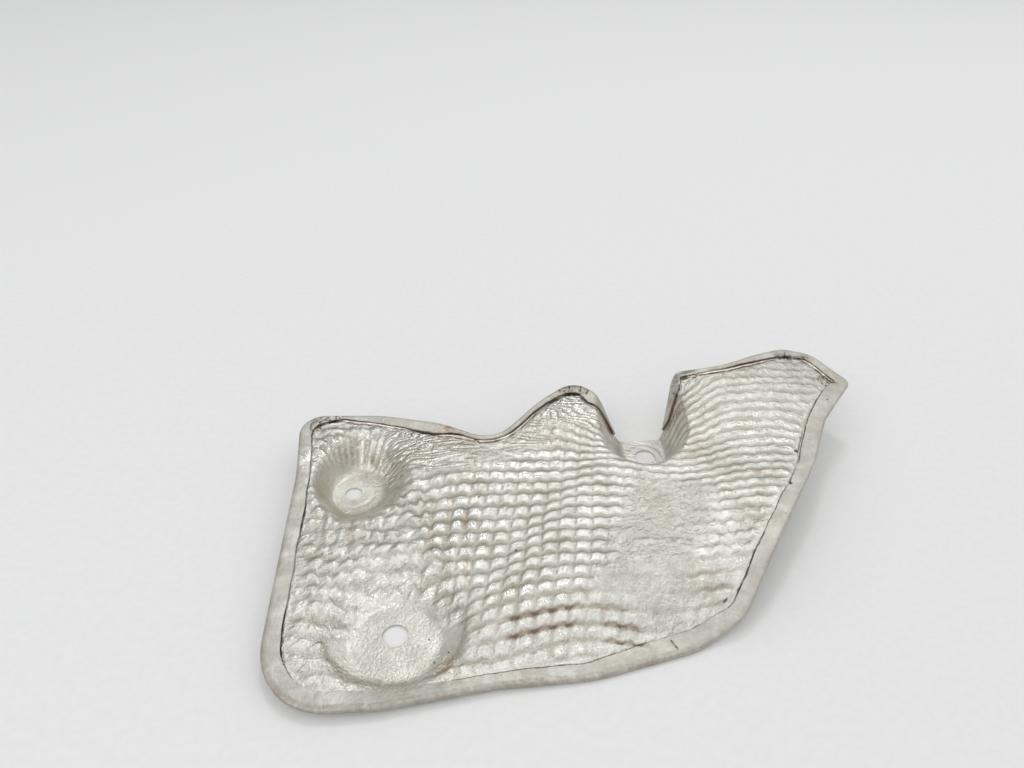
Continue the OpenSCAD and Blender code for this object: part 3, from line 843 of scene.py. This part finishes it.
# Specks of burnt dirt: place and radius in mm
SPECKS = (
    (-43.3, 7.5, 0.55), (-29.7, -19.0, 0.60), (-1.2, -28.3, 0.35), (84.6, 18.7, 1.0),
    (76.6, 0.8, 0.8), (-60.5, -50.3, 0.45), (-58.3, -59.3, 0.45), (-53.7, -56.0, 0.40),
    (-93.4, -58.7, 0.35), (62.2, 10.1, 0.45), (106.3, 45.8, 0.50), (-24.0, 2.0, 0.30),
    (-36.5, -14.0, 0.25), (88.5, 26.0, 0.45),
)


def groove(node, phase, low, high):
    """1 in the grooves, which lie at the whole numbers of a phase, and 0 between them.
    Gives the distance from the middle between two grooves as well, up to 0.5."""
    part = node("Math", phase, operation="FRACT")
    away = node("Math", node("Math", part, 0.5, operation="SUBTRACT"), operation="ABSOLUTE")
    return node("MapRange", away, low, high, interpolation_type="SMOOTHSTEP"), away


def band(node, source, middle, half, soft):
    """1 where a value is near a middle value, with soft sides."""
    off = node("Math", source, middle, operation="SUBTRACT")
    return node("MapRange", node("Math", off, operation="ABSOLUTE"), half + soft, half)


def bump_pattern(node, read, noise):
    """Grooves between the bumps and crowns of the bumps, in step with those of the mesh.
    Gives the distances from the bumps' middles across and along the rows as well."""
    grid = [node("SeparateXYZ", node("UVMap", uv_map="bump_grid"), out=k) for k in (0, 1)]
    shake = node("Math", noise["grain"], 0.30, -0.15, operation="MULTIPLY_ADD")
    swing = node("Math", grid[0], 2 * math.pi, operation="MULTIPLY")
    swing = node("Math", swing, operation="COSINE")
    row = node("Math", swing, read["wave"], grid[1], operation="MULTIPLY_ADD")
    row_groove, across = groove(node, node("Math", row, shake, operation="ADD"), 0.20, 0.48)
    column = node("Math", grid[0], shake, operation="ADD")
    column_groove, along = groove(node, column, 0.26, 0.49)
    column_groove = node("Math", column_groove, read["columns"], operation="MULTIPLY")
    grooves = node("Math", row_groove, column_groove, operation="MAXIMUM")
    grooves = node("Math", grooves, read["press"], operation="MULTIPLY")
    ends = node("Math", read["columns"], node("MapRange", along, 0.14, 0.32), operation="MULTIPLY")
    crown = node("Math", 1.0, ends, operation="SUBTRACT")
    crown = node("Math", crown, node("MapRange", across, 0.32, 0.14), operation="MULTIPLY")
    crown = node("Math", crown, read["press"], operation="MULTIPLY")
    return grooves, crown, across, along


def edge_pattern(node, read, noise):
    """Painted shadow lines beside the folded edge, tinted brown, painted light on the strip
    between them, and grime and painted shade on the cut edge."""
    past = node("Math", noise["wander"], 0.9, -0.45, operation="MULTIPLY_ADD")
    past = node("Math", read["past"], past, operation="ADD")
    beyond = node("Math", past, read["strip"], operation="SUBTRACT")
    # Painted shadow where the flange's free end meets the sheet, tinted brown
    gap = node("Math", band(node, past, 0.0, 0.05, 0.45), 3.0, operation="POWER")
    gap = node("Math", gap, read["line"], operation="MULTIPLY")
    gap = node("Math", gap, 1.0, operation="MINIMUM")
    face = node("Math", 1.0, read["cut"], operation="SUBTRACT")
    gap = node("Math", gap, face, operation="MULTIPLY")
    wide = node("MapRange", read["strip"], 0.4, 0.9)
    # A second painted shadow line where the strip ends
    second = node("Math", band(node, beyond, 0.1, 0.12, 0.18), wide, operation="MULTIPLY")
    shadow_lines = node("Math", gap, second, operation="MAXIMUM")
    breaks = node("MapRange", noise["breaks"], 0.34, 0.54, 0.4, 1.0)
    shadow_lines = node("Math", shadow_lines, breaks, operation="MULTIPLY")
    # Painted light on the strip between the lines
    clean = node("Math", node("MapRange", past, 0.1, 0.3), node("MapRange", beyond, 0.0, -0.25),
                 operation="MULTIPLY")
    clean = node("Math", clean, wide, operation="MULTIPLY")
    # Grime and painted shade on the hem's cut edge, as strong as the line beside it
    grime_and_shade = node("Math", read["line"], 1.0, operation="MINIMUM")
    grime_and_shade = node("Math", grime_and_shade, read["cut"], operation="MULTIPLY")
    grime_and_shade = node("Math", grime_and_shade, read["hem"], operation="MULTIPLY")
    return shadow_lines, clean, grime_and_shade


def cracks_of(node, read, noise, crumple):
    """Cracks where the edge is crumpled, and the long ones that have a place of their own."""
    fine = node("Math", band(node, noise["folds"], 0.5, 0.02, 0.04), crumple, operation="MULTIPLY")
    fine = node("Math", fine, node("MapRange", noise["grain"], 0.46, 0.56), operation="MULTIPLY")
    return node("Math", fine, node("MapRange", read["crack"], 0.45, 0.85), operation="MAXIMUM")


def specks_of(node, where):
    """1 in the specks of burnt dirt."""
    flat = node("VectorMath", where, (1, 1, 0), operation="MULTIPLY")
    out = 0.0
    for x, y, r in SPECKS:
        away = node("VectorMath", flat, (x * MM, y * MM, 0), operation="DISTANCE", out="Value")
        out = node("Math", out, node("MapRange", away, r * MM, 0.5 * r * MM), operation="MAXIMUM")
    return out


def embossed_aluminium(sizes):
    """Thin aluminium sheet, rolled, embossed and pressed, dulled by heat and road dust.

    The rolled face gives broad soft reflections and the bumps' smoother tops small sharp
    ones, with painted highlights on the tops. The press leaves fine crinkles, and dust and
    painted shade darken the grooves between the bumps.
    """
    material, node = empty_material("embossed_rolled_aluminium")
    where = node("TexCoord", out="Object")
    drawn_out = node("VectorMath", where, (0.35, 1.0, 1.0), operation="MULTIPLY")
    read, noise = {}, {}
    for name in (*VALUES, "cut"):
        read[name] = node("Attribute", attribute_name=name, out="Fac")
    for name, (size, detail, rough) in NOISES.items():
        noise[name] = node("TexNoise", named={
            "Vector": drawn_out if name in DRAWN_OUT else where, "Scale": 1 / (size * MM),
            "Detail": detail, "Roughness": rough})
    grain, hem = noise["grain"], read["hem"]
    grooves, crown, across, along = bump_pattern(node, read, noise)
    shadow_lines, clean, grime_and_shade = edge_pattern(node, read, noise)
    crumple = node("MapRange", read["crumple"], 0.25, 0.6)
    dark = node("Math", shadow_lines, cracks_of(node, read, noise, crumple), operation="MAXIMUM")
    # Long fine wrinkles
    phase = node("Math", noise["sway"], 1.5, -0.75, operation="MULTIPLY_ADD")
    phase = node("Math", read["crease"], phase, operation="ADD")
    wrinkle, off_wrinkle = groove(node, phase, 0.28, 0.49)
    fade = node("MapRange", noise["fade"], 0.35, 0.6, 0.2, 1.0)
    # Painted highlights on the bumps' tops, the wrinkles' tops and the dish walls, which are
    # smoother there as well
    top = node("Math", crown, read["gloss_and_highlight"], operation="MULTIPLY")
    wrinkle_top = node("Math", read["creased"], 0.8, operation="MULTIPLY")
    wrinkle_top = node("Math", wrinkle_top, node("MapRange", off_wrinkle, 0.36, 0.16),
                       operation="MULTIPLY")
    for other in (wrinkle_top, read["wall"]):
        top = node("Math", top, other, operation="MAXIMUM")
    rubbed_and_highlit = node("MapRange", noise["rubbing_and_highlights"], 0.42, 0.56)
    handled = node("MapRange", noise["handling"], 0.38, 0.62, 0.3, 1.0)
    dull = node("Math", read["dull"], 0.8, operation="MULTIPLY")
    dull = node("Math", hem, dull, operation="MAXIMUM")
    dirt = node("MapRange", noise["cloud"], 0.25, 0.7, 0.45, 1.0)
    cloudy = node("MapRange", noise["cloud"], 0.35, 0.7)
    colour = node("Mix", named={0: cloudy, 6: sizes.sheet_colour, 7: srgb("#CDCBC2")},
                  out=2, data_type="RGBA")
    # Layers from the sheet upwards: colour, then the shares that are multiplied
    layers = (
        (srgb("#BDBBB1"), dull, handled),
        (srgb("#A59C92"), read["fold"], node("MapRange", noise["wear"], 0.3, 0.65, 0.3, 1.0), 0.75),
        # Painted highlight on the bumps' tops, the wrinkles' tops and the dish walls
        (srgb("#F6F5F1"), top, rubbed_and_highlit, 0.8),
        # Dust and painted shade in the grooves between the bumps
        (sizes.dust_and_shade_colour, grooves, dirt, 0.72),
        (srgb("#7D6A50"), wrinkle, read["creased"], fade, 0.5),
        (srgb("#A38D6C"), read["stain_and_shade"], node("MapRange", grain, 0.3, 0.6)),
        (srgb("#A39484"), read["scuff"], node("MapRange", across, 0.20, 0.40), 0.75),
        (srgb("#5E4F45"), read["scuff"], node("MapRange", across, 0.34, 0.44),
         node("MapRange", along, 0.10, 0.36), node("MapRange", grain, 0.25, 0.5, 0.4, 1.0), 0.8),
        (srgb("#8A6243"), read["rust"], node("MapRange", grain, 0.35, 0.55), 0.8),
        # Painted light on the strip beside the folded edge
        (srgb("#F3ECE3"), clean, 0.7),
        # Grime and painted shade on the hem's cut edge
        (srgb("#86644A"), grime_and_shade, 0.55),
        # Painted shadow lines beside the folded edge, tinted brown, and the cracks
        (srgb("#5E4433"), dark, 0.88),
        (srgb("#43331F"), specks_of(node, where), 0.9),
    )
    for over, share, *factors in layers:
        for factor in factors:
            share = node("Math", share, factor, operation="MULTIPLY")
        colour = node("Mix", named={0: share, 6: colour, 7: over}, out=2, data_type="RGBA")
    # Relief finer than the mesh: depth in mm, then the sources that are multiplied
    pebble = node("TexVoronoi", named={"Vector": where, "Scale": 1 / (2.9 * MM)})
    curls = node("Math", noise["curls"], 0.55, operation="MULTIPLY")
    curls = node("Math", pebble, -0.26, curls, operation="MULTIPLY_ADD")
    broad = node("MapRange", read["crinkle"], 0.0, 0.5, 0.2, 1.0)
    height = 0.0
    for depth, source, *factors in (
            (-0.19, grooves), (0.19, grain), (0.22, noise["broad"], broad), (0.09, noise["fine"]),
            (-0.07, crown), (0.22, crown, read["dome"]), (0.10, handled, hem),
            (1.0, curls, read["crinkle"]), (-0.14, wrinkle, read["creased"], fade),
            (-0.6, off_wrinkle, off_wrinkle, read["creased"]), (1.6, noise["folds"], crumple),
            (-0.12, dark)):
        for factor in factors:
            source = node("Math", source, factor, operation="MULTIPLY")
        height = node("Math", source, depth, height, operation="MULTIPLY_ADD")
    normal = node("Bump", named={"Height": height, "Strength": 1.0, "Distance": 1.0 * MM})
    rough = node("MapRange", grain, 0.3, 0.7, 0.34, 0.44)
    bright = node("Math", top, rubbed_and_highlit, operation="MULTIPLY")
    dust = node("Math", grooves, dirt, operation="MULTIPLY")
    for source, share in ((top, -0.14), (bright, -0.05), (hem, 0.12), (dust, 0.12)):
        rough = node("Math", source, share, rough, operation="MULTIPLY_ADD")
    node("OutputMaterial", node("BsdfPrincipled", named={
        "Base Color": colour, "Roughness": rough, "Normal": normal, "Metallic": 1.0}))
    return material


def painted_board(sizes):
    """Smooth matt painted board: an even pale surface with a very soft sheen."""
    material, node = empty_material("matt_painted_board")
    fine = node("TexNoise", named={
        "Vector": node("TexCoord", out="Object"), "Scale": 1 / (3 * MM), "Detail": 2, "Roughness": 0.5})
    share = node("MapRange", fine, 0.4, 0.6)
    colour = node("Mix", named={0: share, 6: sizes.floor_colour, 7: srgb("#EBEBEA")},
                  out=2, data_type="RGBA")
    node("OutputMaterial", node("BsdfPrincipled", named={"Base Color": colour, "Roughness": 0.85}))
    return material


def pale_room():
    """Soft light from all round, brighter from above and behind the camera; the camera
    itself sees plain white."""
    world = bpy.data.worlds.new("pale_room")
    world.use_nodes = True
    world.node_tree.nodes.clear()
    node = partial(add, world.node_tree)
    way = node("TexCoord", out="Generated")
    up = node("MapRange", node("SeparateXYZ", way, out="Z"), 0.2, 0.95, 0.46, 0.80)
    front = node("MapRange", node("SeparateXYZ", way, out="Y"), 0.1, -0.6, 0.0, 0.16)
    strength = node("Math", up, front, operation="ADD")
    room = node("Background", srgb("#F8F9FA"), strength)
    seen = node("Background", srgb("#FFFFFF"), 1.0)
    camera_ray = node("LightPath", out="Is Camera Ray")
    node("OutputWorld", node("MixShader", camera_ray, room, seen))
    return world


class HeatShieldSizes(bpy.types.PropertyGroup):
    sheet_thickness: FloatProperty(
        name="Sheet thickness", description="Thickness of the aluminium sheet",
        default=0.8 * MM, min=0.6 * MM, max=1.0 * MM, unit="LENGTH", subtype="DISTANCE", precision=5)
    hem_width: FloatProperty(
        name="Hem width", description="Mean width of the folded edge",
        default=7.0 * MM, min=6.0 * MM, max=8.0 * MM, unit="LENGTH", subtype="DISTANCE", precision=5)
    hem_gap: FloatProperty(
        name="Hem gap", description="Air gap under the folded edge",
        default=0.6 * MM, min=0.3 * MM, max=0.8 * MM, unit="LENGTH", subtype="DISTANCE", precision=5)
    bump_pitch: FloatProperty(
        name="Bump pitch", description="Distance from one bump to the next",
        default=6.3 * MM, min=6.0 * MM, max=6.8 * MM, unit="LENGTH", subtype="DISTANCE", precision=5)
    bump_height: FloatProperty(
        name="Bump height", description="Height of a bump above the grooves around it",
        default=0.55 * MM, min=0.4 * MM, max=1.0 * MM, unit="LENGTH", subtype="DISTANCE", precision=5)
    point_spacing: FloatProperty(
        name="Point spacing", description="Distance between the points of the embossed face",
        default=0.90 * MM, min=0.8 * MM, max=3 * MM, unit="LENGTH", subtype="DISTANCE", precision=5)
    edge_step: FloatProperty(
        name="Edge step", description="Distance between the points along the folded edge",
        default=0.84 * MM, min=0.7 * MM, max=3 * MM, unit="LENGTH", subtype="DISTANCE", precision=5)
    sheet_colour: FloatVectorProperty(
        name="Sheet colour", description="Colour of the clean aluminium",
        default=srgb("#E3E2DB"), size=4, min=0.0, max=1.0, subtype="COLOR")
    # Also the colour of the painted shade in the grooves
    dust_and_shade_colour: FloatVectorProperty(
        name="Dust colour", description="Colour of the dust in the grooves between the bumps",
        default=srgb("#958B76"), size=4, min=0.0, max=1.0, subtype="COLOR")
    floor_colour: FloatVectorProperty(
        name="Floor colour", description="Colour of the board under the shield",
        default=srgb("#EDEDEC"), size=4, min=0.0, max=1.0, subtype="COLOR")


class HEATSHIELD_OT_pressed_sheet(bpy.types.Operator):
    """Press, hem and thicken the shield's one sheet"""
    bl_idname = "heat_shield.pressed_sheet"
    bl_label = "Pressed sheet"

    def execute(self, context):
        sizes = settings_of(context)
        points, faces, values = sheet_face(sizes)
        mesh = bpy.data.meshes.new("pressed_sheet")
        mesh.from_pydata((points * MM).tolist(), [], faces)
        if mesh.validate():
            raise RuntimeError("the pressed sheet has faulty faces")
        for name in VALUES:
            layer = mesh.attributes.new(name, "FLOAT", "POINT")
            layer.data.foreach_set("value", values[name].astype(np.float32))
        corners = np.empty(len(mesh.loops), np.int32)
        mesh.loops.foreach_get("vertex_index", corners)
        grid = mesh.uv_layers.new(name="bump_grid")
        uv = np.column_stack([values["u"], values["v"]])[corners]
        grid.data.foreach_set("uv", uv.astype(np.float32).ravel())
        sheet = bpy.data.objects.new("pressed_sheet", mesh)
        context.scene.collection.objects.link(sheet)
        both_sides = 2 * len(mesh.polygons)
        apply_modifier(sheet, "SOLIDIFY", thickness=sizes.sheet_thickness, offset=-1.0,
                       use_rim=True, use_even_offset=False)
        # The modifier puts the faces of the sheet's cut edge after those of its two sides
        cut = np.arange(len(mesh.polygons)) >= both_sides
        mesh.attributes.new("cut", "FLOAT", "FACE").data.foreach_set("value", cut.astype(np.float32))
        bpy.ops.object.shade_smooth_by_angle(angle=math.radians(48))
        mesh.materials.append(embossed_aluminium(sizes))
        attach(sheet, "root")
        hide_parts("heat_shield")
        return {"FINISHED"}


# Lamps: place in metres, width in metres and power in watts. All aim at the origin.
LAMPS = {
    "window": ((1.05, 0.42, 1.10), 1.4, 2.95),
    "ceiling": ((0.06, 0.75, 1.45), 0.24, 2.6),
    "door": ((-0.75, -0.65, 1.0), 0.9, 3.0),
}
FLOOR_SIZE = 8.0

# The camera as worked out from the photo
CAMERA_PLACE = (-0.03783, -0.21038, 0.22718)
CAMERA_TURN = (53.5, 0.0, -2.0)
CAMERA_LENS = 27.07
CAMERA_SENSOR = 36.0


def hang_lamp(scene, name, spot, width, power):
    data = bpy.data.lights.new(name, "AREA")
    data.size = width
    data.energy = power
    lamp = bpy.data.objects.new(name, data)
    lamp.location = spot
    lamp.rotation_euler = (-Vector(spot)).to_track_quat("-Z", "Y").to_euler()
    scene.collection.objects.link(lamp)


def set_camera(scene):
    data = bpy.data.cameras.new("photo_camera")
    data.sensor_width = CAMERA_SENSOR
    data.lens = CAMERA_LENS
    data.clip_start = 0.01
    camera = bpy.data.objects.new("photo_camera", data)
    camera.location = CAMERA_PLACE
    camera.rotation_euler = [math.radians(a) for a in CAMERA_TURN]
    scene.collection.objects.link(camera)
    scene.camera = camera


class HEATSHIELD_OT_stage(bpy.types.Operator):
    """Lay the floor, hang the lamps and set up the camera"""
    bl_idname = "heat_shield.stage"
    bl_label = "Stage"

    def execute(self, context):
        scene = context.scene
        bpy.ops.mesh.primitive_plane_add(size=FLOOR_SIZE)
        floor = context.active_object
        floor.name = "floor"
        floor.data.materials.append(painted_board(settings_of(context)))
        for name, (spot, width, power) in LAMPS.items():
            hang_lamp(scene, name, spot, width, power)
        scene.world = pale_room()
        set_camera(scene)
        scene.view_settings.view_transform = "Standard"
        return {"FINISHED"}


class HEATSHIELD_PT_panel(bpy.types.Panel):
    """Steps that make the heat shield"""
    bl_label = "Heat shield"
    bl_idname = "HEATSHIELD_PT_panel"
    bl_space_type = "VIEW_3D"
    bl_region_type = "UI"
    bl_category = "Heat shield"

    def draw(self, context):
        sizes = settings_of(context)
        for name in sizes.bl_rna.properties.keys():
            if name not in ("rna_type", "name"):
                self.layout.prop(sizes, name)
        self.layout.operator("heat_shield.pressed_sheet")
        self.layout.operator("heat_shield.stage")


CLASSES = (
    HeatShieldSizes,
    HEATSHIELD_OT_pressed_sheet,
    HEATSHIELD_OT_stage,
    HEATSHIELD_PT_panel,
)


def register():
    for cls in CLASSES:
        bpy.utils.register_class(cls)
    bpy.types.Scene.heat_shield_sizes = PointerProperty(type=HeatShieldSizes)


def unregister():
    del bpy.types.Scene.heat_shield_sizes
    for cls in reversed(CLASSES):
        bpy.utils.unregister_class(cls)


def main():
    register()
    bpy.ops.heat_shield.pressed_sheet()
    bpy.ops.heat_shield.stage()


if __name__ == "__main__":
    main()
